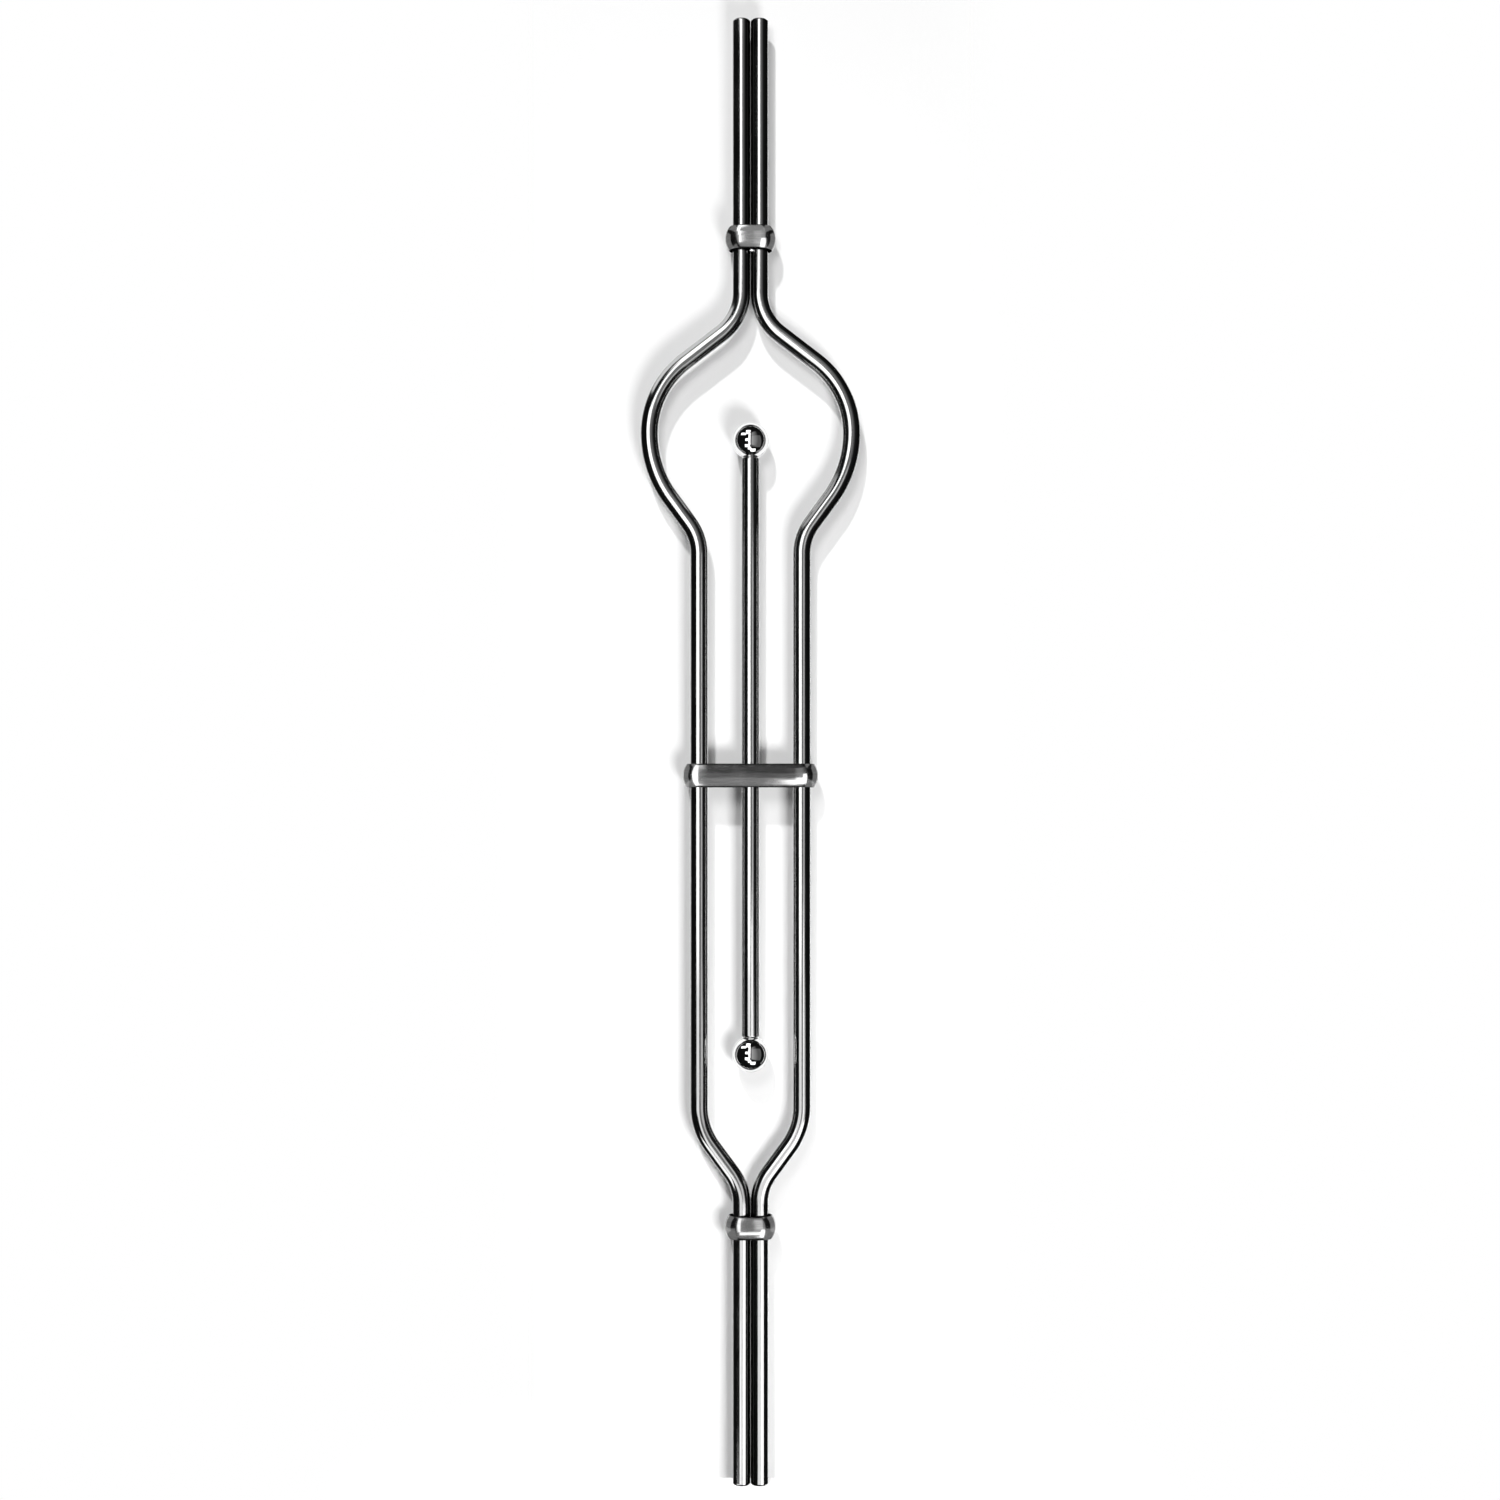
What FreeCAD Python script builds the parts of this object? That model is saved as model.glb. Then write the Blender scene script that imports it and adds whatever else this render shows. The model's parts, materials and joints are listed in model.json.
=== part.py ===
# Iron stair baluster: two bent round bars, a centre bar with a ball on each end, and three collars.
# Millimetres. +Z runs up the bars, X is the width, and the front faces -Y.
# The origin is at the middle of the bottom ends of the two bent bars.
import FreeCAD, Part
import math
import os

import Sketcher

doc = FreeCAD.newDocument("StairBaluster")


# Driving sizes, each with its word, its value and what it measures
SIZES = [
    ("bar_height", 1000, "overall height of the two bent bars"),
    ("bar_dia", 12, "diameter of all the round bar"),
    ("end_chamfer", 1.0, "chamfer on every bar end"),
    ("pair_gap", 0.3, "space between the bent bars where they run side by side"),
    ("tail_length", 192, "straight pair below the first bend"),
    ("closing_low_radius", 35.5, "first bend, away from the middle"),
    ("closing_run", 22.2, "straight between the first and second bend"),
    ("closing_top_radius", 45.5, "second bend, back to upright"),
    ("leg_spacing", 70, "between the middles of the upright legs"),
    ("knee_radius", 35.5, "third bend, out into the bulge"),
    ("waist_run", 21.2, "straight between the knee and the bulge"),
    ("bulge_low_radius", 75, "lower shoulder of the bulge"),
    ("bulge_width", 150, "over the bars at the widest place"),
    ("bulge_drop", 282.2, "from the top ends down to the widest place"),
    ("bulge_top_radius", 61.5, "upper shoulder of the bulge"),
    ("neck_run", 31.6, "straight between the bulge and the neck"),
    ("neck_radius", 35, "last bend, back to the straight pair"),
    ("ball_dia", 25, "diameter of both balls"),
    ("top_ball_drop", 5.1, "middle of the top ball below the widest place"),
    ("bottom_ball_lift", 35.9, "middle of the bottom ball above the foot of the legs"),
    ("spigot_dia", 8, "turned spigot on each end of the centre bar"),
    ("spigot_length", 9, "length of each spigot"),
    ("spigot_clearance", 0.1, "free space round a spigot in its ball"),
    ("spigot_end_room", 1, "free depth past the end of a spigot"),
    ("strip_height", 16, "height of the collar strip"),
    ("strip_crown", 5, "thickness of the strip at the middle of its crown"),
    ("strip_edge", 2.3, "thickness of the strip at its top and bottom edges, before their rounding"),
    ("strip_arris", 0.5, "rounding of the strip's outer edges"),
    ("collar_clearance", 0.15, "free space between a collar and the bars"),
    ("seam_gap", 0.8, "butt seam at the back of each collar"),
    ("top_collar_lift", 36.8, "middle of the top collar above the neck"),
    ("middle_collar_drop", 19.2, "middle of the wide collar below halfway between the balls"),
    ("bottom_collar_drop", 16, "middle of the bottom collar below the first bend"),
]

sizes = doc.addObject("Spreadsheet::Sheet", "Sizes")
for row, (word, number, meaning) in enumerate(SIZES, start=1):
    sizes.set(f"A{row}", meaning)
    sizes.set(f"B{row}", str(number))
    sizes.setAlias(f"B{row}", word)
doc.recompute()


# Sizes that follow from the driving ones, as formulas
def offset_bend(name, outer, inner, low_radius, top_radius):
    """Formulas for two equal and opposite bends with a straight run between them.

    The bar steps sideways by outer less inner, and the turn of each bend follows from the radii and the run.
    """
    radii = f"{name}_radii"
    turn = f"{name}_turn"
    run = f"Sizes.{name}_run"
    slant = f"sqrt({radii} ^ 2 + {run} ^ 2)"
    return [
        (radii, f"=Sizes.{low_radius} + Sizes.{top_radius}"),
        (turn, f"=acos(({radii} - {outer} + {inner}) / {slant}) - atan({run} / {radii})"),
        (f"{name}_rise", f"={radii} * sin({turn}) + {run} * cos({turn})"),
    ]


FORMULAS = [
    ("bar_reach", "=Sizes.bar_dia / 2"),
    ("pair_offset", "=(Sizes.bar_dia + Sizes.pair_gap) / 2"),
    ("leg_offset", "=Sizes.leg_spacing / 2"),
    ("bulge_offset", "=(Sizes.bulge_width - Sizes.bar_dia) / 2"),
    *offset_bend("closing", "leg_offset", "pair_offset", "closing_low_radius", "closing_top_radius"),
    *offset_bend("waist", "bulge_offset", "leg_offset", "knee_radius", "bulge_low_radius"),
    *offset_bend("neck", "bulge_offset", "pair_offset", "bulge_top_radius", "neck_radius"),
    ("bulge_height", "=Sizes.bar_height - Sizes.bulge_drop"),
    ("neck_height", "=bulge_height + neck_rise"),
    ("knee_height", "=bulge_height - waist_rise"),
    ("leg_height", "=Sizes.tail_length + closing_rise"),
    ("ball_reach", "=Sizes.ball_dia / 2"),
    ("seat_reach", "=bar_reach - Sizes.end_chamfer"),
    ("seat_depth", "=sqrt(ball_reach ^ 2 - seat_reach ^ 2)"),
    ("top_ball_height", "=bulge_height - Sizes.top_ball_drop"),
    ("bottom_ball_height", "=leg_height + Sizes.bottom_ball_lift"),
    ("centre_bar_height", "=bottom_ball_height + seat_depth"),
    ("centre_bar_length", "=top_ball_height - bottom_ball_height - 2 * seat_depth"),
    ("wrap_reach", "=bar_reach + Sizes.collar_clearance"),
    ("crown_rise", "=Sizes.strip_crown - Sizes.strip_edge"),
    ("crown_radius", "=(Sizes.strip_height ^ 2 / 4 + crown_rise ^ 2) / (2 * crown_rise)"),
    ("crown_depth", "=crown_radius - Sizes.strip_crown"),
    ("top_collar_height", "=neck_height + Sizes.top_collar_lift"),
    ("middle_collar_height", "=(top_ball_height + bottom_ball_height) / 2 - Sizes.middle_collar_drop"),
    ("bottom_collar_height", "=Sizes.tail_length - Sizes.bottom_collar_drop"),
]

worked = doc.addObject("Spreadsheet::Sheet", "Worked")
for row, (word, formula) in enumerate(FORMULAS, start=1):
    worked.set(f"A{row}", word.replace("_", " "))
    worked.set(f"B{row}", formula)
    worked.setAlias(f"B{row}", word)
doc.recompute()


def size(word):
    """A driving size, in millimetres."""
    return float(sizes.get(word))


def result(word):
    """A worked-out length in millimetres."""
    return float(worked.get(word))


def turn(name):
    """The turn of the two bends of an offset, in radians."""
    return math.radians(worked.get(f"{name}_turn").Value)


# Helpers for bodies and sketches
def new_body(label):
    body = doc.addObject("PartDesign::Body", label)
    body.Label = label
    return body


def origin_plane(body, role):
    return next(feature for feature in body.Origin.OriginFeatures if feature.Role == role)


def new_sketch(body, name, role):
    sketch = body.newObject("Sketcher::SketchObject", name)
    sketch.AttachmentSupport = (origin_plane(body, role), [""])
    sketch.MapMode = "FlatFace"
    return sketch


def point(u, v):
    return FreeCAD.Vector(u, v, 0)


def polar(centre, reach, angle):
    return point(centre.x + reach * math.cos(angle), centre.y + reach * math.sin(angle))


def add_line(sketch, start, end):
    return sketch.addGeometry(Part.LineSegment(start, end), False)


def add_arc(sketch, centre, reach, from_angle, to_angle):
    """An arc that runs anticlockwise between two angles in radians."""
    circle = Part.Circle(centre, FreeCAD.Vector(0, 0, 1), reach)
    return sketch.addGeometry(Part.ArcOfCircle(circle, from_angle, to_angle), False)


def bind(sketch, name, formula, kind, *where):
    """A named dimension of a sketch that follows a formula; its first value is measured from the drawing."""
    index = sketch.addConstraint(Sketcher.Constraint(kind, *where, measured(sketch, kind, where)))
    sketch.renameConstraint(index, name)
    sketch.setExpression(f"Constraints.{name}", formula)


def measured(sketch, kind, where):
    if kind == "Radius":
        return sketch.Geometry[where[0]].Radius
    if kind == "Distance":
        return sketch.Geometry[where[0]].length()
    first, first_end, second, second_end = where
    step = sketch.getPoint(second, second_end) - sketch.getPoint(first, first_end)
    return step.x if kind == "DistanceX" else step.y


# The places on a line or an arc, as sketches number them, and the sketch's own origin
START, END, MIDDLE = range(1, 4)
ORIGIN = (-1, START)


def join_smoothly(sketch, joints):
    for first, first_end, second, second_end in joints:
        sketch.addConstraint(Sketcher.Constraint("Tangent", first, first_end, second, second_end))


# Bent bars
def bar_path(body):
    """The bar's middle line from the bottom end to the top end: straight runs and the six bends."""
    path = new_sketch(body, "MiddleLine", "XZ_Plane")
    pair, leg, bulge = result("pair_offset"), result("leg_offset"), result("bulge_offset")
    closing, waist, neck = turn("closing"), turn("waist"), turn("neck")
    to_left = math.pi

    tail_end = point(pair, size("tail_length"))
    opening_centre = point(pair + size("closing_low_radius"), tail_end.y)
    leg_start = point(leg, result("leg_height"))
    upright_centre = point(leg - size("closing_top_radius"), leg_start.y)
    leg_end = point(leg, result("knee_height"))
    knee_centre = point(leg + size("knee_radius"), leg_end.y)
    low_centre = point(bulge - size("bulge_low_radius"), result("bulge_height"))
    top_centre = point(bulge - size("bulge_top_radius"), result("bulge_height"))
    head_start = point(pair, result("neck_height"))
    neck_centre = point(pair + size("neck_radius"), head_start.y)

    tail = add_line(path, point(pair, 0), tail_end)
    opening = add_arc(path, opening_centre, size("closing_low_radius"), to_left - closing, to_left)
    closing_run = add_line(
        path,
        polar(opening_centre, size("closing_low_radius"), to_left - closing),
        polar(upright_centre, size("closing_top_radius"), -closing),
    )
    upright = add_arc(path, upright_centre, size("closing_top_radius"), -closing, 0)
    leg_line = add_line(path, leg_start, leg_end)
    knee = add_arc(path, knee_centre, size("knee_radius"), to_left - waist, to_left)
    waist_run = add_line(
        path,
        polar(knee_centre, size("knee_radius"), to_left - waist),
        polar(low_centre, size("bulge_low_radius"), -waist),
    )
    low_bulge = add_arc(path, low_centre, size("bulge_low_radius"), -waist, 0)
    top_bulge = add_arc(path, top_centre, size("bulge_top_radius"), 0, neck)
    neck_run = add_line(
        path,
        polar(top_centre, size("bulge_top_radius"), neck),
        polar(neck_centre, size("neck_radius"), to_left + neck),
    )
    last_bend = add_arc(path, neck_centre, size("neck_radius"), to_left, to_left + neck)
    head = add_line(path, head_start, point(pair, size("bar_height")))

    join_smoothly(path, [
        (tail, END, opening, END),
        (opening, START, closing_run, START),
        (closing_run, END, upright, START),
        (upright, END, leg_line, START),
        (leg_line, END, knee, END),
        (knee, START, waist_run, START),
        (waist_run, END, low_bulge, START),
        (low_bulge, END, top_bulge, START),
        (top_bulge, END, neck_run, START),
        (neck_run, END, last_bend, END),
        (last_bend, START, head, START),
    ])
    for upright_line in (tail, leg_line, head):
        path.addConstraint(Sketcher.Constraint("Vertical", upright_line))
    path.addConstraint(Sketcher.Constraint("Horizontal", low_bulge, MIDDLE, low_bulge, END))

    bind(path, "pair_offset", "Worked.pair_offset", "DistanceX", *ORIGIN, tail, START)
    path.addConstraint(Sketcher.Constraint("PointOnObject", tail, START, -1))
    bind(path, "head_offset", "Worked.pair_offset", "DistanceX", *ORIGIN, head, END)
    bind(path, "leg_offset", "Worked.leg_offset", "DistanceX", *ORIGIN, leg_line, START)
    bind(path, "bulge_offset", "Worked.bulge_offset", "DistanceX", *ORIGIN, low_bulge, END)
    bind(path, "bar_height", "Sizes.bar_height", "DistanceY", *ORIGIN, head, END)
    bind(path, "bulge_height", "Worked.bulge_height", "DistanceY", *ORIGIN, low_bulge, END)
    bind(path, "tail_length", "Sizes.tail_length", "DistanceY", tail, START, tail, END)
    for bend, word in (
        (opening, "closing_low_radius"),
        (upright, "closing_top_radius"),
        (knee, "knee_radius"),
        (low_bulge, "bulge_low_radius"),
        (top_bulge, "bulge_top_radius"),
        (last_bend, "neck_radius"),
    ):
        bind(path, word, f"Sizes.{word}", "Radius", bend)
    for run, word in (
        (closing_run, "closing_run"),
        (waist_run, "waist_run"),
        (neck_run, "neck_run"),
    ):
        bind(path, word, f"Sizes.{word}", "Distance", run)
    return path


def bar_section(body):
    section = new_sketch(body, "RoundSection", "XY_Plane")
    circle = Part.Circle(point(result("pair_offset"), 0), FreeCAD.Vector(0, 0, 1), result("bar_reach"))
    ring = section.addGeometry(circle, False)
    section.addConstraint(Sketcher.Constraint("PointOnObject", ring, MIDDLE, -1))
    bind(section, "pair_offset", "Worked.pair_offset", "DistanceX", *ORIGIN, ring, MIDDLE)
    bind(section, "bar_reach", "Worked.bar_reach", "Radius", ring)
    return section


def end_rims(shape, heights):
    """The names of the round edges that lie flat at one of the heights."""
    rims = []
    for number, edge in enumerate(shape.Edges, start=1):
        box = edge.BoundBox
        flat = box.ZLength < 0.001
        if flat and any(abs(box.ZMin - height) < 0.001 for height in heights):
            rims.append(f"Edge{number}")
    return rims


def bent_bar(label, turned):
    """One bent bar; turned about the height by 180 degrees, the same bar makes the other side."""
    body = new_body(label)
    section = bar_section(body)
    path = bar_path(body)
    doc.recompute()
    sweep = body.newObject("PartDesign::AdditivePipe", "BentBar")
    sweep.Profile = section
    sweep.Spine = (path, [])
    doc.recompute()
    chamfer = body.newObject("PartDesign::Chamfer", "EndChamfer")
    chamfer.Base = (sweep, end_rims(sweep.Shape, (0, size("bar_height"))))
    chamfer.setExpression("Size", "Sizes.end_chamfer")
    body.Placement.Rotation = FreeCAD.Rotation(FreeCAD.Vector(0, 0, 1), turned)
    return body


# Turned pieces
def turned_piece(label, draw, height, upside_down=False):
    """A piece turned about its upright middle line and set at a height."""
    body = new_body(label)
    sketch = new_sketch(body, "HalfSection", "XZ_Plane")
    draw(sketch)
    doc.recompute()
    revolution = body.newObject("PartDesign::Revolution", "Turned")
    revolution.Profile = sketch
    revolution.ReferenceAxis = (sketch, ["V_Axis"])
    revolution.Angle = 360
    body.Placement.Rotation = FreeCAD.Rotation(FreeCAD.Vector(1, 0, 0), 180 if upside_down else 0)
    body.setExpression("Placement.Base.z", height)
    return body


def closed_outline(sketch, corners):
    """Straight lines round a list of corners, joined end to end and closed."""
    lines = [
        add_line(sketch, point(*start), point(*end))
        for start, end in zip(corners, corners[1:] + corners[:1])
    ]
    for line, following in zip(lines, lines[1:] + lines[:1]):
        sketch.addConstraint(Sketcher.Constraint("Coincident", line, END, following, START))
    return lines


def draw_centre_bar(sketch):
    """Half section of the centre bar, with a spigot and a chamfered shoulder at each end."""
    bar = result("bar_reach")
    seat = result("seat_reach")
    spigot = size("spigot_dia") / 2
    length = result("centre_bar_length")
    chamfer = size("end_chamfer")
    tip = size("spigot_length")
    corners = [
        (0, -tip),
        (spigot, -tip),
        (spigot, 0),
        (seat, 0),
        (bar, chamfer),
        (bar, length - chamfer),
        (seat, length),
        (spigot, length),
        (spigot, length + tip),
        (0, length + tip),
    ]
    lines = closed_outline(sketch, corners)
    low_tip, low_side, low_seat, low_slope, side, top_slope, top_seat, top_side, top_tip, axis = lines
    for flat in (low_tip, low_seat, top_seat, top_tip):
        sketch.addConstraint(Sketcher.Constraint("Horizontal", flat))
    for upright in (low_side, side, top_side):
        sketch.addConstraint(Sketcher.Constraint("Vertical", upright))
    sketch.addConstraint(Sketcher.Constraint("PointOnObject", axis, START, -2))
    sketch.addConstraint(Sketcher.Constraint("PointOnObject", axis, END, -2))
    sketch.addConstraint(Sketcher.Constraint("PointOnObject", low_seat, START, -1))
    bind(sketch, "spigot_reach", "Sizes.spigot_dia / 2", "DistanceX", *ORIGIN, low_side, START)
    bind(sketch, "top_spigot_reach", "Sizes.spigot_dia / 2", "DistanceX", *ORIGIN, top_side, START)
    bind(sketch, "low_tip", "Sizes.spigot_length", "DistanceY", low_side, START, low_side, END)
    bind(sketch, "top_tip", "Sizes.spigot_length", "DistanceY", top_side, START, top_side, END)
    bind(sketch, "seat_reach", "Worked.seat_reach", "DistanceX", *ORIGIN, low_seat, END)
    bind(sketch, "top_seat_reach", "Worked.seat_reach", "DistanceX", *ORIGIN, top_seat, START)
    bind(sketch, "bar_reach", "Worked.bar_reach", "DistanceX", *ORIGIN, side, START)
    bind(sketch, "low_chamfer", "Sizes.end_chamfer", "DistanceY", low_slope, START, low_slope, END)
    bind(sketch, "top_chamfer", "Sizes.end_chamfer", "DistanceY", top_slope, START, top_slope, END)
    bind(sketch, "length", "Worked.centre_bar_length", "DistanceY", *ORIGIN, top_seat, START)


def draw_ball(sketch):
    """Half section of a ball with a flat seat and a blind hole below."""
    ball = result("ball_reach")
    seat = result("seat_reach")
    seat_height = -result("seat_depth")
    hole = size("spigot_dia") / 2 + size("spigot_clearance")
    hole_top = seat_height + size("spigot_length") + size("spigot_end_room")
    seat_angle = math.atan2(seat_height, seat)
    hole_roof = add_line(sketch, point(0, hole_top), point(hole, hole_top))
    hole_wall = add_line(sketch, point(hole, hole_top), point(hole, seat_height))
    flat = add_line(sketch, point(hole, seat_height), point(seat, seat_height))
    round_side = add_arc(sketch, point(0, 0), ball, seat_angle, math.pi / 2)
    axis = add_line(sketch, point(0, ball), point(0, hole_top))
    for first, first_end, second, second_end in (
        (hole_roof, END, hole_wall, START),
        (hole_wall, END, flat, START),
        (flat, END, round_side, START),
        (round_side, END, axis, START),
        (axis, END, hole_roof, START),
        (round_side, MIDDLE, *ORIGIN),
    ):
        sketch.addConstraint(Sketcher.Constraint("Coincident", first, first_end, second, second_end))
    for flat_line in (hole_roof, flat):
        sketch.addConstraint(Sketcher.Constraint("Horizontal", flat_line))
    sketch.addConstraint(Sketcher.Constraint("Vertical", hole_wall))
    sketch.addConstraint(Sketcher.Constraint("PointOnObject", axis, START, -2))
    sketch.addConstraint(Sketcher.Constraint("PointOnObject", axis, END, -2))
    bind(sketch, "ball_reach", "Worked.ball_reach", "Radius", round_side)
    bind(sketch, "seat_reach", "Worked.seat_reach", "DistanceX", *ORIGIN, flat, END)
    hole_reach = "Sizes.spigot_dia / 2 + Sizes.spigot_clearance"
    bind(sketch, "hole_reach", hole_reach, "DistanceX", *ORIGIN, hole_wall, END)
    hole_depth = "Sizes.spigot_length + Sizes.spigot_end_room"
    bind(sketch, "hole_depth", hole_depth, "DistanceY", hole_wall, END, hole_wall, START)


# Collars
def wrap_path(body, offset):
    """The inner line of a collar seen from above: round both outer bars, open at the back seam."""
    path = new_sketch(body, "WrapLine", "XY_Plane")
    along = result(offset)
    reach = result("wrap_reach")
    seam = size("seam_gap") / 2
    quarter = math.pi / 2
    right_back = add_line(path, point(seam, reach), point(along, reach))
    right_end = add_arc(path, point(along, 0), reach, -quarter, quarter)
    front = add_line(path, point(along, -reach), point(-along, -reach))
    left_end = add_arc(path, point(-along, 0), reach, quarter, 3 * quarter)
    left_back = add_line(path, point(-along, reach), point(-seam, reach))
    join_smoothly(path, [
        (right_back, END, right_end, END),
        (right_end, START, front, START),
        (front, END, left_end, END),
        (left_end, START, left_back, START),
    ])
    path.addConstraint(Sketcher.Constraint("Horizontal", front))
    for end_arc in (right_end, left_end):
        path.addConstraint(Sketcher.Constraint("PointOnObject", end_arc, MIDDLE, -1))
    bind(path, "right_offset", f"Worked.{offset}", "DistanceX", *ORIGIN, right_end, MIDDLE)
    bind(path, "left_offset", f"Worked.{offset}", "DistanceX", left_end, MIDDLE, *ORIGIN)
    bind(path, "wrap_reach", "Worked.wrap_reach", "Radius", right_end)
    path.addConstraint(Sketcher.Constraint("Horizontal", right_back))
    path.addConstraint(Sketcher.Constraint("Horizontal", left_back))
    bind(path, "right_seam", "Sizes.seam_gap / 2", "DistanceX", *ORIGIN, right_back, START)
    bind(path, "left_seam", "Sizes.seam_gap / 2", "DistanceX", left_back, END, *ORIGIN)
    return path


def strip_section(body):
    """The strip's section at the seam: flat inside, crowned outside, with rounded outer edges."""
    section = new_sketch(body, "StripSection", "YZ_Plane")
    section.setExpression("AttachmentOffset.Base.z", "Sizes.seam_gap / 2")
    inner = result("wrap_reach")
    half = size("strip_height") / 2
    arris = size("strip_arris")
    crown = result("crown_radius")
    centre = point(inner - result("crown_depth"), 0)
    spread = math.asin((half - arris) / (crown - arris))
    low_corner = polar(centre, crown - arris, -spread)
    top_corner = polar(centre, crown - arris, spread)
    quarter = math.pi / 2
    back = add_line(section, point(inner, half), point(inner, -half))
    bottom = add_line(section, point(inner, -half), point(low_corner.x, -half))
    low_arris = add_arc(section, low_corner, arris, -quarter, -spread)
    face = add_arc(section, centre, crown, -spread, spread)
    top_arris = add_arc(section, top_corner, arris, spread, quarter)
    top = add_line(section, point(top_corner.x, half), point(inner, half))
    for first, second in ((back, bottom), (top, back)):
        section.addConstraint(Sketcher.Constraint("Coincident", first, END, second, START))
    join_smoothly(section, [
        (bottom, END, low_arris, START),
        (low_arris, END, face, START),
        (face, END, top_arris, START),
        (top_arris, END, top, START),
    ])
    for level in (bottom, top):
        section.addConstraint(Sketcher.Constraint("Horizontal", level))
    section.addConstraint(Sketcher.Constraint("PointOnObject", face, MIDDLE, -1))
    section.addConstraint(Sketcher.Constraint("Symmetric", back, START, back, END, -1))
    bind(section, "wrap_reach", "Worked.wrap_reach", "DistanceX", *ORIGIN, back, START)
    bind(section, "strip_height", "Sizes.strip_height", "DistanceY", back, END, back, START)
    bind(section, "crown_radius", "Worked.crown_radius", "Radius", face)
    bind(section, "crown_depth", "Worked.crown_depth", "DistanceX", face, MIDDLE, back, START)
    bind(section, "low_arris", "Sizes.strip_arris", "Radius", low_arris)
    bind(section, "top_arris", "Sizes.strip_arris", "Radius", top_arris)
    return section


def collar(label, offset, height):
    """A strip wrapped round the bars, whose ends meet in a butt seam at the back."""
    body = new_body(label)
    section = strip_section(body)
    path = wrap_path(body, offset)
    doc.recompute()
    sweep = body.newObject("PartDesign::AdditivePipe", "WrappedStrip")
    sweep.Profile = section
    sweep.Spine = (path, [])
    body.setExpression("Placement.Base.z", height)
    return body


# The pieces
pieces = [
    bent_bar("right_bar", 0),
    bent_bar("left_bar", 180),
    turned_piece("centre_bar", draw_centre_bar, "Worked.centre_bar_height"),
    turned_piece("top_ball", draw_ball, "Worked.top_ball_height"),
    turned_piece("bottom_ball", draw_ball, "Worked.bottom_ball_height", upside_down=True),
    collar("top_collar", "pair_offset", "Worked.top_collar_height"),
    collar("middle_collar", "leg_offset", "Worked.middle_collar_height"),
    collar("bottom_collar", "pair_offset", "Worked.bottom_collar_height"),
]
doc.recompute()


# Checks, then the files
for item in doc.Objects:
    if "Invalid" in item.State or "Error" in item.State:
        raise RuntimeError(f"{item.Name} failed: {item.State}")

for piece in pieces:
    shape = piece.Shape
    if shape.isNull() or not shape.isValid() or len(shape.Solids) != 1:
        raise RuntimeError(f"{piece.Label} is not one valid solid")

os.makedirs("parts", exist_ok=True)
for piece in pieces:
    piece.Shape.exportStep(f"parts/{piece.Label}.step")
    print(f"{piece.Label}: volume {piece.Shape.Volume:.1f} mm3")
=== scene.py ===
"""Iron stair baluster: smooth bars, balls and wrapped collars, their steel finishes and a white studio."""

import json
import math

import bmesh
import bpy
from mathutils import Matrix, Vector

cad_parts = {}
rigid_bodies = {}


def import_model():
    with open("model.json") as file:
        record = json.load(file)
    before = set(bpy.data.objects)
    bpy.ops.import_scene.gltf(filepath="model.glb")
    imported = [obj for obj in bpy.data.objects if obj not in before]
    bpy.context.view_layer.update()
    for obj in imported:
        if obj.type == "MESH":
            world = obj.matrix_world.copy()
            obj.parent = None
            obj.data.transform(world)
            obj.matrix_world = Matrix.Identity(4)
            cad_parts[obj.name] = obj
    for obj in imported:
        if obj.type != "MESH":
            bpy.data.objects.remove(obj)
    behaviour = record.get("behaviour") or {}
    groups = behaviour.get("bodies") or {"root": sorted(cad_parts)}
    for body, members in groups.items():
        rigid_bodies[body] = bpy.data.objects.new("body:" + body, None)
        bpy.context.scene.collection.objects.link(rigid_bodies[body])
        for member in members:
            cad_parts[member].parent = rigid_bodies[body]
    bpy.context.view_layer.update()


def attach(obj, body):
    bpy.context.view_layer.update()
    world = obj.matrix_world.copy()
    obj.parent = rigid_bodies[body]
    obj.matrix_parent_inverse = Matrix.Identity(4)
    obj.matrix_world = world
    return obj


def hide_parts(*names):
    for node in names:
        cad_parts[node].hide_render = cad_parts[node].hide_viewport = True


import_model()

bl_info = {
    "name": "Iron Stair Baluster",
    "version": (1, 0, 0),
    "blender": (4, 5, 0),
    "location": "3D View > Sidebar > Baluster",
    "description": "Makes the bars, balls and collars of an iron stair baluster, and a studio to show it in",
    "category": "Add Mesh",
}

UP = Vector((0, 0, 1))
RIGHT = Vector((1, 0, 0))
BACK = Vector((0, 1, 0))
WHITE = (1, 1, 1, 1)
# Points closer together than the first are merged, and points closer than the second count as touching
MERGE = 1e-7
TOUCH = 1e-6

# Steps in the bends of a bent bar: the first and second bend of its closing, its waist and its neck
CLOSING_STEPS = (20, 24)
WAIST_STEPS = (20, 32)
NECK_STEPS = (32, 24)
# Corners round each ball, and steps from its crown down to its seat
BALL_CORNERS = 112
BALL_STEPS = 72
# Steps in a collar's turn round a bar, and in the crown and the rounded edges of its strip
TURN_STEPS = 48
CROWN_STEPS = 24
ARRIS_STEPS = 5
# Rounding of the chamfers on the bent bars and on the centre bar, as a share of the chamfer
BENT_ROUNDING = 0.14
CENTRE_ROUNDING = 0.15
# Rounding of a collar's seam edges, as a share of its outer edges' rounding
SEAM_ROUNDING = 0.4
# Height of the backdrop's middle
BACKDROP_MIDDLE = 0.5
# How far the lights stand that make glints on the balls and collars
FAR = 0.6
NEAR = 0.12
# Sockets of a Mix node that is set to colours
MIX_FIRST = 6
MIX_SECOND = 7
MIX_RESULT = 2


# Settings
def length(name, description, default):
    return bpy.props.FloatProperty(
        name=name, description=description, default=default, unit="LENGTH", precision=5)


def share(name, description, default):
    return bpy.props.FloatProperty(name=name, description=description, default=default, min=0, max=1)


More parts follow.
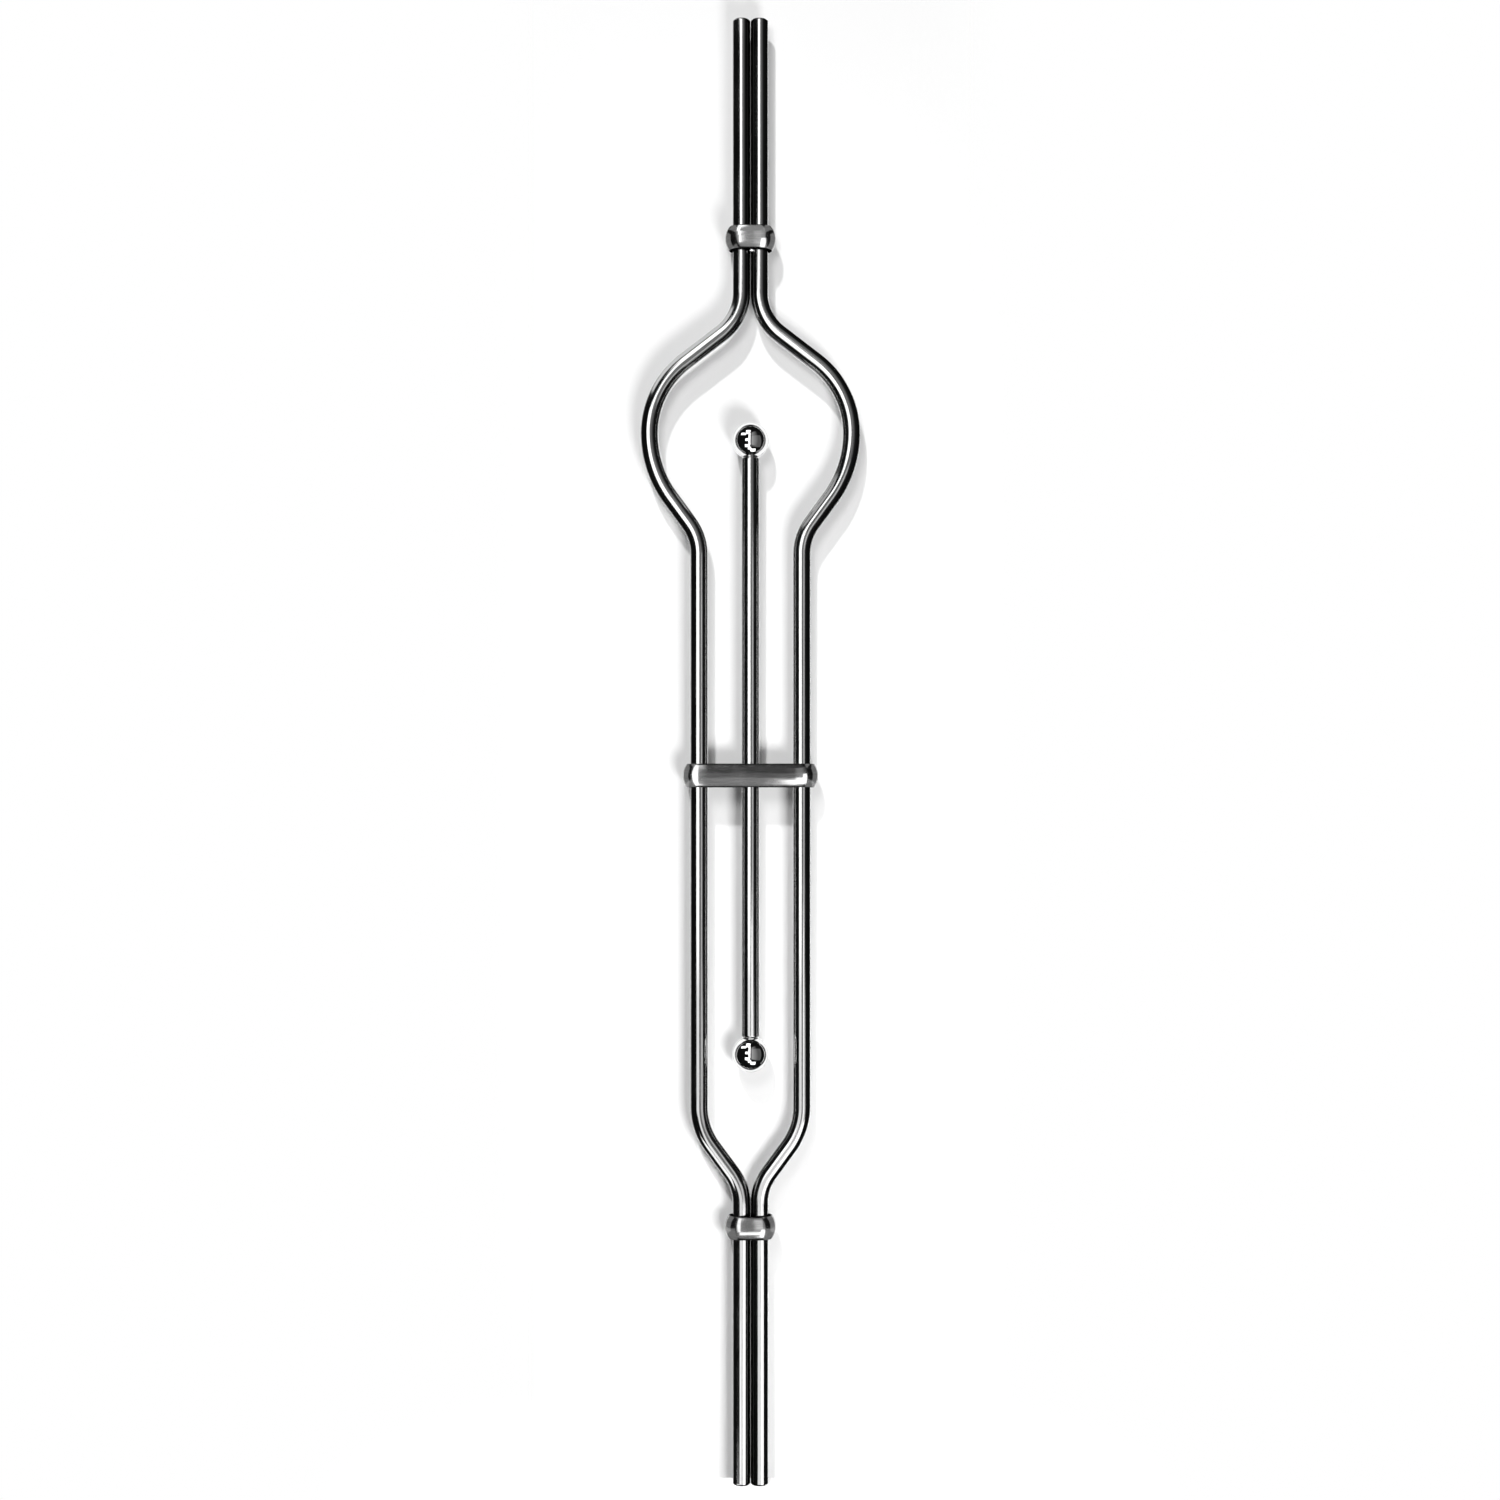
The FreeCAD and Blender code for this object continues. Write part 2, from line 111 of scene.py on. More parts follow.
def strength(name, description, default):
    return bpy.props.FloatProperty(name=name, description=description, default=default, min=0, precision=3)


def colour(name, description, default):
    return bpy.props.FloatVectorProperty(
        name=name, description=description, default=default, size=3, subtype="COLOR", min=0, max=1)


class BalusterBarSettings(bpy.types.PropertyGroup):
    height: length("Height", "Overall height of the two bent bars", 1.0)
    radius: length("Bar radius", "Half the diameter of the round bar", 0.006)
    chamfer: length("End chamfer", "Chamfer on every bar end", 0.001)
    guard: length("Guard", "From a chamfer to the ring of points that keeps the shading straight", 0.0006)
    pair_offset: length("Pair offset", "Middle of a bar from the middle of the pair", 0.00615)
    leg_offset: length("Leg offset", "Middle of a leg from the middle of the baluster", 0.035)
    bulge_offset: length("Bulge offset", "Middle of a bar at the widest place", 0.069)
    tail: length("Tail", "Straight pair below the first bend", 0.192)
    closing_low: length("First bend", "Radius of the bend away from the pair", 0.0355)
    closing_run: length("Closing run", "Straight between the first and second bend", 0.0222)
    closing_top: length("Second bend", "Radius of the bend back to upright", 0.0455)
    knee: length("Knee", "Radius of the bend out into the bulge", 0.0355)
    waist_run: length("Waist run", "Straight between the knee and the bulge", 0.0212)
    bulge_low: length("Lower shoulder", "Radius of the lower half of the bulge", 0.075)
    bulge_drop: length("Bulge drop", "Widest place below the top ends", 0.2822)
    bulge_top: length("Upper shoulder", "Radius of the upper half of the bulge", 0.0615)
    neck_run: length("Neck run", "Straight between the bulge and the neck", 0.0316)
    neck: length("Neck", "Radius of the last bend", 0.035)
    corners: bpy.props.IntProperty(name="Corners", description="Corners round each bar", default=72, min=12)


class BalusterBallSettings(bpy.types.PropertyGroup):
    radius: length("Ball radius", "Half the diameter of each ball", 0.0125)
    seat: length("Seat", "Radius of the flat where a ball meets its bar", 0.005)
    top_height: length("Top ball", "Height of the middle of the top ball", 0.7127)
    bottom_height: length("Bottom ball", "Height of the middle of the bottom ball", 0.293691)
    spigot: length("Spigot", "Radius of the turned spigot on the centre bar", 0.004)
    spigot_length: length("Spigot length", "Length of each spigot", 0.009)
    clearance: length("Spigot clearance", "Free space round a spigot", 0.0001)
    end_room: length("End room", "Free depth past the end of a spigot", 0.001)


class BalusterCollarSettings(bpy.types.PropertyGroup):
    reach: length("Reach", "Inner face of the strip from the middle of a bar", 0.00615)
    height: length("Strip height", "Height of the strip", 0.016)
    crown: length("Crown", "Thickness at the middle of the strip", 0.005)
    edge: length("Edge", "Thickness at the top and bottom before rounding", 0.0023)
    arris: length("Arris", "Rounding of the outer edges", 0.0005)
    seam: length("Seam", "Gap of the butt seam at the back", 0.0008)
    top: length("Top collar", "Height of the middle of the top collar", 0.850404)
    middle: length("Middle collar", "Height of the middle of the wide collar", 0.484017)
    bottom: length("Bottom collar", "Height of the middle of the bottom collar", 0.176)


class BalusterFinishSettings(bpy.types.PropertyGroup):
    bar_colour: colour("Bar steel", "Colour of the polished bars", (0.56, 0.56, 0.56))
    bar_roughness: share("Bar roughness", "Roughness of the polished bars", 0.13)
    collar_colour: colour("Collar steel", "Colour of the satin collars", (0.5, 0.5, 0.5))
    collar_roughness: share("Collar roughness", "Roughness of the satin collars", 0.16)
    ball_colour: colour("Ball polish", "Colour of the mirror balls", (0.78, 0.78, 0.78))
    ball_roughness: share("Ball roughness", "Roughness of the mirror balls", 0.035)


class BalusterStudioSettings(bpy.types.PropertyGroup):
    camera_distance: length("Camera distance", "From the lens to the middle plane of the bars", 1.45)
    camera_height: length("Camera height", "Height of the lens", 0.4565)
    camera_side: length("Camera side", "Lens to the right of the middle", -0.00034)
    frame_width: length("Frame width", "Width of the picture at the plane of the bars", 1.0248)
    frame_middle: length("Frame middle", "Height of the middle of the picture", 0.5015)
    backdrop_gap: length("Backdrop gap", "Backdrop behind the middle plane of the bars", 0.0127)
    paper: share("Paper", "Lightness of the floor and backdrop", 0.85)
    backdrop_glow: strength("Backdrop glow", "Even light from the backdrop", 0.02)
    floor_glow: strength("Floor glow", "Even light from the floor", 0.8)
    fill: strength("Fill", "Soft light from all round on matt surfaces", 0.11)
    sun_key: strength("Sun key", "Power in watts of the small far lamp at the upper left", 130)
    soft_key: strength("Soft key", "Power in watts of the small lamp in front of the upper part", 4.4)
    low_key: strength("Low key", "Power in watts of the near lamp at the lower right", 8)
    left_light: strength("Left light", "Brightness of the tall light that the steel mirrors", 2.4)
    right_light: strength("Right light", "Brightness of the low light that the steel mirrors", 2.4)
    grey_light: strength("Grey light", "Brightness of the grey card that the steel mirrors", 0.3)
    dark_light: strength("Dark light", "Brightness of the dark surround that the steel mirrors", 0.006)


GROUPS = {
    "baluster_bar": BalusterBarSettings,
    "baluster_ball": BalusterBallSettings,
    "baluster_collar": BalusterCollarSettings,
    "baluster_finish": BalusterFinishSettings,
    "baluster_studio": BalusterStudioSettings,
}


class BalusterOperator(bpy.types.Operator):
    bl_options = {"REGISTER", "UNDO"}


# Shaping helpers
def start_bmesh():
    """An empty mesh whose points remember where they would lie if the piece were straightened."""
    bm = bmesh.new()
    return bm, bm.verts.layers.float_vector.new("straight")


def carry(bm, ring, moves, place, heading, side, straight):
    """Carries a ring of edges along straight runs and bends, and gives back the last ring.

    A move is ("run", length) or ("bend", radius, turn, steps); a turn above zero goes towards the side.
    """
    along = max(v[straight].z for edge in ring for v in edge.verts)
    for kind, *numbers in moves:
        if kind == "run":
            distance, = numbers
            made = bmesh.ops.extrude_edge_only(bm, edges=ring)["geom"]
            points = [g for g in made if isinstance(g, bmesh.types.BMVert)]
            bmesh.ops.translate(bm, verts=points, vec=heading * distance)
            ring = new_ring(made, points)
            place = place + heading * distance
            along += distance
            for point in points:
                point[straight].z = along
            continue
        radius, turn, steps = numbers
        axis = heading.cross(side)
        centre = place + side * math.copysign(radius, turn)
        step = turn / steps
        swing = Matrix.Rotation(step, 3, axis)
        for _ in range(steps):
            made = bmesh.ops.spin(bm, geom=ring, cent=centre, axis=axis, angle=step, steps=1)["geom_last"]
            points = [g for g in made if isinstance(g, bmesh.types.BMVert)]
            ring = [g for g in made if isinstance(g, bmesh.types.BMEdge)]
            place = centre + swing @ (place - centre)
            heading = swing @ heading
            side = swing @ side
            along += radius * abs(step)
            for point in points:
                point[straight].z = along
    return ring


def new_ring(made, points):
    """The edges among new points only, which leave out the edges back to the old ring."""
    fresh = set(points)
    return [g for g in made if isinstance(g, bmesh.types.BMEdge) and all(v in fresh for v in g.verts)]


def trace(bm, start, moves):
    """Draws an open outline in the XZ plane from one point: ("to", x, z) or ("arc", x, z, turn, steps)."""
    point = bmesh.ops.create_vert(bm, co=start)["vert"][0]
    for kind, x, z, *rest in moves:
        if kind == "to":
            made = bmesh.ops.extrude_vert_indiv(bm, verts=[point])
            point = made["verts"][0]
            point.co = (x, start[1], z)
            continue
        turn, steps = rest
        centre = (x, start[1], z)
        made = bmesh.ops.spin(bm, geom=[point], cent=centre, axis=BACK, angle=turn, steps=steps)
        point = next(g for g in made["geom_last"] if isinstance(g, bmesh.types.BMVert))
    return point


def cap(bm, ring):
    """Closes a ring of edges with a face."""
    bmesh.ops.contextual_create(bm, geom=ring)


def soften(bm, edges, width, segments=2):
    """Rounds some edges."""
    bmesh.ops.bevel(
        bm, geom=edges, offset=width, offset_type="OFFSET", affect="EDGES",
        segments=segments, profile=0.5, material=-1, clamp_overlap=True)


def finish_piece(name, bm, material, nodes=(), crease=35):
    """Turns a mesh into a piece that rides on the baluster and stands for its CAD nodes."""
    bmesh.ops.remove_doubles(bm, verts=bm.verts, dist=MERGE)
    bmesh.ops.recalc_face_normals(bm, faces=bm.faces)
    mesh = bpy.data.meshes.new(name)
    bm.to_mesh(mesh)
    bm.free()
    mesh.shade_smooth()
    mesh.set_sharp_from_angle(angle=math.radians(crease))
    mesh.materials.append(material)
    piece = bpy.data.objects.new(name, mesh)
    bpy.context.scene.collection.objects.link(piece)
    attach(piece, "root")
    if nodes:
        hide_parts(*nodes)
    return piece


# Material helpers
def new_material(name):
    """An empty material, and the tree for its nodes."""
    material = bpy.data.materials.new(name)
    material.use_nodes = True
    material.node_tree.nodes.clear()
    return material, material.node_tree


def add(tree, kind, values=None, **settings):
    """A node with its settings and with values or links on its inputs."""
    node = tree.nodes.new(kind)
    for name, value in settings.items():
        setattr(node, name, value)
    for name, value in (values or {}).items():
        if isinstance(value, bpy.types.NodeSocket):
            tree.links.new(value, node.inputs[name])
        else:
            node.inputs[name].default_value = value
    return node


def object_place(tree):
    """Where a point lies on the baluster."""
    return add(tree, "ShaderNodeTexCoord").outputs["Object"]


def straight_place(tree):
    """Where a point would lie if its piece were straightened."""
    return add(tree, "ShaderNodeAttribute", attribute_name="straight").outputs["Vector"]


def split(tree, vector):
    """The X, Y and Z of a vector."""
    return add(tree, "ShaderNodeSeparateXYZ", {"Vector": vector}).outputs


def noise(tree, vector, scale, detail=2.0, roughness=0.5, stretch=None):
    """A noise, stretched along Z where a scale for that direction is given."""
    if stretch:
        mapping = add(tree, "ShaderNodeMapping", {"Vector": vector, "Scale": (1, 1, stretch)})
        vector = mapping.outputs["Vector"]
    values = {"Vector": vector, "Scale": scale, "Detail": detail, "Roughness": roughness}
    return add(tree, "ShaderNodeTexNoise", values).outputs["Fac"]


def between(tree, value, low, high, start=0.0, end=1.0, smooth=False):
    """A value between start and end remapped to run from low to high."""
    values = {"Value": value, "From Min": start, "From Max": end, "To Min": low, "To Max": high}
    kind = "SMOOTHSTEP" if smooth else "LINEAR"
    return add(tree, "ShaderNodeMapRange", values, interpolation_type=kind).outputs["Result"]


def maths(tree, operation, first, second=0.0):
    return add(tree, "ShaderNodeMath", {0: first, 1: second}, operation=operation).outputs[0]


def off_middle(tree, value, middle=0.0):
    """How far a value is from a middle, on either side."""
    return maths(tree, "ABSOLUTE", maths(tree, "SUBTRACT", value, middle))


def weighed(tree, first, second, share):
    """Two patterns added, the first by a share and the second by the rest."""
    rest = maths(tree, "MULTIPLY", second, 1 - share)
    return maths(tree, "ADD", maths(tree, "MULTIPLY", first, share), rest)


def mottled(tree, base, pattern, dark, light):
    """A colour that follows a pattern between two shades of a base colour."""
    shades = [tuple(min(1.0, channel * factor) for channel in base) for factor in (dark, light)]
    level = between(tree, pattern, 0, 1, start=0.3, end=0.7)
    ramp = add(tree, "ShaderNodeMix", {"Factor": level}, data_type="RGBA")
    ramp.inputs[MIX_FIRST].default_value = (*shades[0], 1)
    ramp.inputs[MIX_SECOND].default_value = (*shades[1], 1)
    return ramp.outputs[MIX_RESULT]


def uneven(tree, roughness, pattern, least, most):
    """A roughness that follows a pattern between two shares of itself."""
    return between(tree, pattern, roughness * least, roughness * most, start=0.35, end=0.65)


def darkened(tree, look, factor):
    """A colour scaled by a factor."""
    return add(tree, "ShaderNodeVectorMath", {0: look, "Scale": factor}, operation="SCALE").outputs["Vector"]


def steel(tree, look, soft, relief, depth, edge=WHITE):
    """A bare metal surface: its colour, roughness, relief and the tint of its edges."""
    bump_strength = 0.4
    bump = add(tree, "ShaderNodeBump", {"Strength": bump_strength, "Distance": depth, "Height": relief})
    surface = add(tree, "ShaderNodeBsdfPrincipled", {
        "Base Color": look, "Metallic": 1.0, "Roughness": soft, "Specular Tint": edge,
        "Normal": bump.outputs["Normal"],
    })
    add(tree, "ShaderNodeOutputMaterial", {"Surface": surface.outputs["BSDF"]})


# Steel finishes
def painted_groove_shade(tree):
    """Painted shade: darkens the steel and its reflections in the groove where the two bent bars run side by
    side.
    """
    darkest, groove, shade_end = 0.02, 0.001, 0.0045
    basket_middle, basket_inside, basket_end = 0.52, 0.27, 0.3
    parts = split(tree, object_place(tree))
    aside = between(tree, off_middle(tree, parts["X"]), darkest, 1, groove, shade_end, smooth=True)
    up = off_middle(tree, parts["Z"], basket_middle)
    return maths(tree, "MAXIMUM", aside, between(tree, up, 1, 0, basket_inside, basket_end, smooth=True))


def polished_bar_steel(paired):
    """Drawn bar, polished: fine lines along the bar and a few soft smears."""
    finish = bpy.context.scene.baluster_finish
    material, tree = new_material("Paired bar steel" if paired else "Centre bar steel")
    place = straight_place(tree)
    lines = noise(tree, place, scale=1400, detail=3.0, roughness=0.6, stretch=0.02)
    broad = noise(tree, place, scale=160, detail=3.0, roughness=0.55, stretch=0.12)
    drawn = weighed(tree, lines, broad, share=0.45)
    look = mottled(tree, finish.bar_colour, drawn, dark=0.86, light=1.08)
    edge = WHITE
    # Painted shade in the groove between the paired bars darkens both the colour and the tint of the edges
    if paired:
        edge = painted_groove_shade(tree)
        look = darkened(tree, look, edge)
    smears = noise(tree, place, scale=30)
    soft = uneven(tree, finish.bar_roughness, smears, least=0.75, most=1.35)
    steel(tree, look, soft, drawn, depth=0.00002, edge=edge)
    return material


def corner_swell(tree, strip, corner, depth):
    """A faint swell of the strip's front between its flat run and each corner."""
    across = off_middle(tree, split(tree, object_place(tree))["X"])
    turn = between(tree, across, 0, math.pi, corner - strip.reach, corner + strip.reach)
    return maths(tree, "MULTIPLY", maths(tree, "COSINE", turn), depth)


def painted_edge_shade(tree, strip, place):
    """Painted shade: the steel darkened on the strip's top and bottom faces."""
    darkest, dark_band, soft_band = 0.12, 0.00002, 0.00015
    half = strip.height / 2
    up = off_middle(tree, split(tree, place)["Y"])
    return between(tree, up, 1, darkest, half - soft_band, half - dark_band)


def satin_collar_steel(name, corner, swell):
    """Brushed strip: fine lines along the strip, uneven in places, with painted shade on its top and bottom
    edges.
    """
    finish = bpy.context.scene.baluster_finish
    strip = bpy.context.scene.baluster_collar
    material, tree = new_material(f"{name} collar steel")
    place = straight_place(tree)
    lines = noise(tree, place, scale=2600, detail=4.0, roughness=0.65, stretch=0.03)
    bands = noise(tree, place, scale=420, detail=3.0, roughness=0.6, stretch=0.1)
    brushed = weighed(tree, lines, bands, share=0.6)
    # Painted shade on the strip's top and bottom faces darkens both its colour and the tint of its edges
    edge_shade = painted_edge_shade(tree, strip, place)
    look = darkened(tree, mottled(tree, finish.collar_colour, brushed, dark=0.78, light=1.2), edge_shade)
    patches = noise(tree, place, scale=90, detail=3.0, roughness=0.6)
    soft = uneven(tree, finish.collar_roughness, patches, least=0.8, most=1.25)
    brush_depth = 0.03
    waves = noise(tree, place, scale=150, detail=1.0, roughness=0.4, stretch=0.6)
    relief = maths(tree, "ADD", maths(tree, "MULTIPLY", brushed, brush_depth), waves)
    relief = maths(tree, "ADD", relief, corner_swell(tree, strip, corner, swell))
    steel(tree, look, soft, relief, depth=0.0003, edge=edge_shade)
    return material


def mirror_ball_polish():
    """Mirror polish with the faintest haze."""
    finish = bpy.context.scene.baluster_finish
    material, tree = new_material("Mirror ball polish")
    place = object_place(tree)
    haze = noise(tree, place, scale=120, detail=3.0)
    look = mottled(tree, finish.ball_colour, haze, dark=0.95, light=1.03)
    soft = uneven(tree, finish.ball_roughness, haze, least=0.6, most=1.6)
    steel(tree, look, soft, noise(tree, place, scale=900), depth=0.000002)
    return material


def weld_metal():
    """A small tack of weld: bright, lumpy and a little rough."""
    smoothest, roughest = 0.22, 0.4
    material, tree = new_material("Weld tack metal")
    lumps = noise(tree, object_place(tree), scale=1500, detail=3.0, roughness=0.6)
    look = mottled(tree, (1, 1, 1), lumps, dark=0.6, light=0.85)
    soft = between(tree, lumps, smoothest, roughest, start=0.3, end=0.7)
    steel(tree, look, soft, lumps, depth=0.00015)
    return material


# Bars
def offset_turn(step, run, radii):
    """The turn of two equal and opposite bends that carry a bar sideways by a step."""
    return math.acos((radii - step) / math.hypot(radii, run)) - math.atan2(run, radii)


def offset_rise(turn, run, radii):
    """How far along such a pair of bends and the straight between them carry a bar."""
    return radii * math.sin(turn) + run * math.cos(turn)


def bar_moves(bar):
    """The runs and bends of one bent bar from its bottom chamfer to its top chamfer."""
    closing_radii = bar.closing_low + bar.closing_top
    waist_radii = bar.knee + bar.bulge_low
    neck_radii = bar.bulge_top + bar.neck
    closing = offset_turn(bar.leg_offset - bar.pair_offset, bar.closing_run, closing_radii)
    waist = offset_turn(bar.bulge_offset - bar.leg_offset, bar.waist_run, waist_radii)
    neck = offset_turn(bar.bulge_offset - bar.pair_offset, bar.neck_run, neck_radii)
    bulge_height = bar.height - bar.bulge_drop
    leg_start = bar.tail + offset_rise(closing, bar.closing_run, closing_radii)
    leg_end = bulge_height - offset_rise(waist, bar.waist_run, waist_radii)
    head_start = bulge_height + offset_rise(neck, bar.neck_run, neck_radii)
    return [
        ("run", bar.guard),
        ("run", bar.tail - bar.chamfer - bar.guard),
        ("bend", bar.closing_low, closing, CLOSING_STEPS[0]),
        ("run", bar.closing_run),
        ("bend", bar.closing_top, -closing, CLOSING_STEPS[1]),
        ("run", leg_end - leg_start),
        ("bend", bar.knee, waist, WAIST_STEPS[0]),
        ("run", bar.waist_run),
        ("bend", bar.bulge_low, -waist, WAIST_STEPS[1]),
        ("bend", bar.bulge_top, -neck, NECK_STEPS[0]),
        ("run", bar.neck_run),
        ("bend", bar.neck, neck, NECK_STEPS[1]),
        ("run", bar.height - head_start - bar.chamfer - bar.guard),
        ("run", bar.guard),
    ]


def grow(bm, ring, middle, factor):
    """Scales a ring about its own middle."""
    points = list({v for edge in ring for v in edge.verts})
    bmesh.ops.scale(bm, verts=points, vec=(factor, factor, 1), space=Matrix.Translation(-middle))


def bent_bar_mesh(bar):
    """The right-hand bent bar: a round section carried along its runs and bends, chamfered at both ends."""
    bm, straight = start_bmesh()
    foot = Vector((bar.pair_offset, 0, 0))
    flat = bar.radius - bar.chamfer
    circle = bmesh.ops.create_circle(bm, segments=bar.corners, radius=flat, matrix=Matrix.Translation(foot))
    for point in circle["verts"]:
        point[straight] = (point.co - foot) * (bar.radius / flat)
    ring = list(bm.edges)
    cap(bm, ring)
    ring = carry(bm, ring, [("run", bar.chamfer)], foot, UP, RIGHT, straight)
    chamfer_top = foot + UP * bar.chamfer
    grow(bm, ring, chamfer_top, bar.radius / flat)
    ring = carry(bm, ring, bar_moves(bar), chamfer_top, UP, RIGHT, straight)
    head = Vector((bar.pair_offset, 0, bar.height - bar.chamfer))
    ring = carry(bm, ring, [("run", bar.chamfer)], head, UP, RIGHT, straight)
    grow(bm, ring, head + UP * bar.chamfer, flat / bar.radius)
    cap(bm, ring)
    levels = (0, bar.chamfer, bar.height - bar.chamfer, bar.height)
    rims = [
        edge for edge in bm.edges
        if any(all(abs(v.co.z - level) < TOUCH for v in edge.verts) for level in levels)
    ]
    soften(bm, rims, bar.chamfer * BENT_ROUNDING)
    return bm


class BALUSTER_OT_bent_bars(BalusterOperator):
    """Make the two bent bars"""
    bl_idname = "baluster.bent_bars"
    bl_label = "Bent Bars"

    def execute(self, context):
        material = polished_bar_steel(paired=True)
        for side, turned in (("right", 0), ("left", math.pi)):
            bm = bent_bar_mesh(context.scene.baluster_bar)
            bmesh.ops.rotate(bm, verts=bm.verts, cent=(0, 0, 0), matrix=Matrix.Rotation(turned, 3, "Z"))
            finish_piece(f"bar_{side}", bm, material, [f"{side}_bar"])
        return {"FINISHED"}


def turned_mesh(start, moves, steps):
    """Turns an outline all the way round the upright middle line."""
    bm, straight = start_bmesh()
    trace(bm, start, moves)
    bmesh.ops.spin(
        bm, geom=bm.verts[:] + bm.edges[:], cent=(0, 0, 0), axis=UP,
        angle=math.tau, steps=steps, use_merge=True)
    bmesh.ops.remove_doubles(bm, verts=bm.verts, dist=TOUCH)
    for point in bm.verts:
        point[straight] = point.co
    return bm


def seat_depth(ball):
    """From the middle of a ball to its flat seat."""
    return math.sqrt(ball.radius ** 2 - ball.seat ** 2)


class BALUSTER_OT_centre_bar(BalusterOperator):
    """Make the centre bar with its spigots and chamfered shoulders"""
    bl_idname = "baluster.centre_bar"
    bl_label = "Centre Bar"

    def execute(self, context):
        bar = context.scene.baluster_bar
        ball = context.scene.baluster_ball
        low = ball.bottom_height + seat_depth(ball)
        top = ball.top_height - seat_depth(ball)
        rim = bar.chamfer * CENTRE_ROUNDING
        # Radii at both ends, and their distances in from the shoulders
        end = (
            (ball.spigot, -ball.spigot_length),
            (ball.spigot, 0),
            (ball.seat, 0),
            (bar.radius - rim, bar.chamfer - rim),
            (bar.radius, bar.chamfer + rim),
            (bar.radius, bar.chamfer + bar.guard),
        )
        bm = turned_mesh((0, 0, low - ball.spigot_length), [
            *(("to", radius, low + inward) for radius, inward in end),
            *(("to", radius, top - inward) for radius, inward in reversed(end)),
            ("to", 0, top + ball.spigot_length),
        ], bar.corners)
        material = polished_bar_steel(paired=False)
        finish_piece("bar_centre", bm, material, ["centre_bar"])
        return {"FINISHED"}


class BALUSTER_OT_balls(BalusterOperator):
    """Make the ball on each end of the centre bar"""
    bl_idname = "baluster.balls"
    bl_label = "Balls"

    def execute(self, context):
        ball = context.scene.baluster_ball
        seat_height = -seat_depth(ball)
        hole = ball.spigot + ball.clearance
        roof = seat_height + ball.spigot_length + ball.end_room
        round_turn = math.pi / 2 + math.atan2(-seat_height, ball.seat)
        material = mirror_ball_polish()
        for where, height, tilt in (("top", ball.top_height, 0), ("bottom", ball.bottom_height, math.pi)):
            bm = turned_mesh((0, 0, ball.radius), [
                ("arc", 0, 0, round_turn, BALL_STEPS),
                ("to", hole, seat_height),
                ("to", hole, roof),
                ("to", 0, roof),
            ], BALL_CORNERS)
            bmesh.ops.rotate(bm, verts=bm.verts, cent=(0, 0, 0), matrix=Matrix.Rotation(tilt, 3, "X"))
            bmesh.ops.translate(bm, verts=bm.verts, vec=UP * height)
            finish_piece(f"ball_{where}", bm, material, [f"{where}_ball"])
        return {"FINISHED"}


# Collars
def crown_radius(strip):
    """Radius of the strip's crowned outside, from its height and how far it rises."""
    half = strip.height / 2
    rise = strip.crown - strip.edge
    return (half ** 2 + rise ** 2) / (2 * rise)


def strip_outline(bm, strip, straight):
    """The strip's section at the seam, flat towards the bars and crowned outside; gives its edges."""
    half = strip.height / 2
    crown = crown_radius(strip)
    crown_middle = strip.crown - crown
    spread = math.asin((half - strip.arris) / (crown - strip.arris))
    corner = crown_middle + (crown - strip.arris) * math.cos(spread)
    corner_turn = math.pi / 2 - spread
    trace(bm, (0, 0, half), [
        ("to", corner, half),
        ("arc", corner, half - strip.arris, corner_turn, ARRIS_STEPS),
        ("arc", crown_middle, 0, 2 * spread, CROWN_STEPS),
        ("arc", corner, strip.arris - half, corner_turn, ARRIS_STEPS),
        ("to", 0, -half),
        ("to", 0, half),
    ])
    bmesh.ops.remove_doubles(bm, verts=bm.verts, dist=MERGE)
    for point in bm.verts:
        point[straight] = (point.co.x, point.co.z, 0)
    turn = Matrix.Rotation(math.pi / 2, 3, "Z")
    bmesh.ops.rotate(bm, verts=bm.verts, cent=(0, 0, 0), matrix=turn)
    return list(bm.edges)


def collar_mesh(strip, offset, height):
    """A strip wrapped round the outer bars, with a butt seam at the back."""
    bm, straight = start_bmesh()
    ring = strip_outline(bm, strip, straight)
    start = Vector((strip.seam / 2, strip.reach, 0))
    bmesh.ops.translate(bm, verts=bm.verts, vec=start)
    cap(bm, ring)
    half_back = offset - strip.seam / 2
    ring = carry(bm, ring, [
        ("run", half_back),
        ("bend", strip.reach, math.pi, TURN_STEPS),
        ("run", 2 * offset),
        ("bend", strip.reach, math.pi, TURN_STEPS),
        ("run", half_back),
    ], start, RIGHT, -BACK, straight)
    cap(bm, ring)
    seam_edges = [
        edge for edge in bm.edges
        if all(abs(abs(v.co.x) - strip.seam / 2) < TOUCH and v.co.y > 0 for v in edge.verts)
    ]
    soften(bm, seam_edges, strip.arris * SEAM_ROUNDING)
    bmesh.ops.translate(bm, verts=bm.verts, vec=UP * height)
    return bm


class BALUSTER_OT_collars(BalusterOperator):
    """Make the three wrapped collars"""
    bl_idname = "baluster.collars"
    bl_label = "Collars"

    def execute(self, context):
        bar = context.scene.baluster_bar
        strip = context.scene.baluster_collar
        paired = satin_collar_steel("Paired", bar.pair_offset, swell=2.8)
        wide = satin_collar_steel("Wide", bar.leg_offset, swell=1.7)
        for where, offset, height in (
            ("top", bar.pair_offset, strip.top),
            ("middle", bar.leg_offset, strip.middle),
            ("bottom", bar.pair_offset, strip.bottom),
        ):
            bm = collar_mesh(strip, offset, height)
            material = wide if where == "middle" else paired
            finish_piece(f"collar_{where}", bm, material, [f"{where}_collar"])
        return {"FINISHED"}


